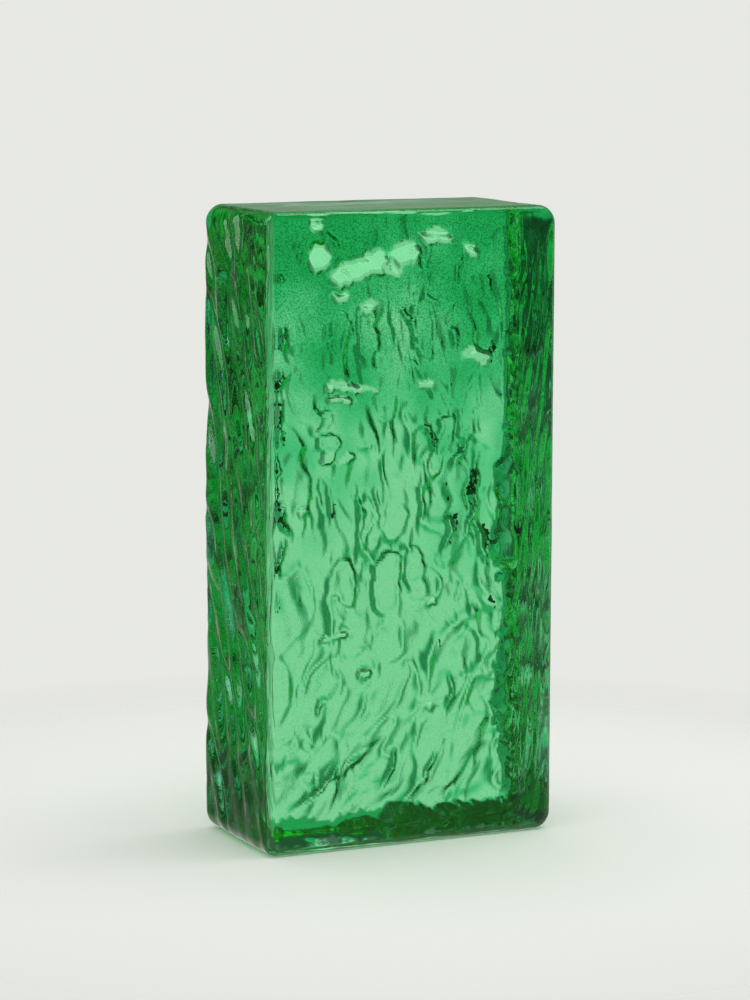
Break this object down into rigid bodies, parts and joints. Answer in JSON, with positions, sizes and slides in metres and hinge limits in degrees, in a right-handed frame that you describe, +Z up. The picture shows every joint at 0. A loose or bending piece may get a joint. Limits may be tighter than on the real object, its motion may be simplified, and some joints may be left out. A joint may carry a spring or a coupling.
{
  "type": "glass block",
  "caption": "Solid cast-glass brick standing on end: one smooth fire-polished face with rounded edges, the other sides rippled with chill folds, and a flat foot.",
  "frame": {"origin": "middle of the foot, on the floor that the block stands on", "axes": "+Z up the block's 240 mm height, +X across its 120 mm width, +Y from the polished face towards the rippled back"},
  "size_m": [0.1214, 0.0612, 0.24],
  "materials": {
    "green_glass": "clear green glass, fire-polished on one face and mould-chilled on the others"
  },
  "bodies": {
    "root": {"glass_block": "green_glass"}
  },
  "joints": []
}
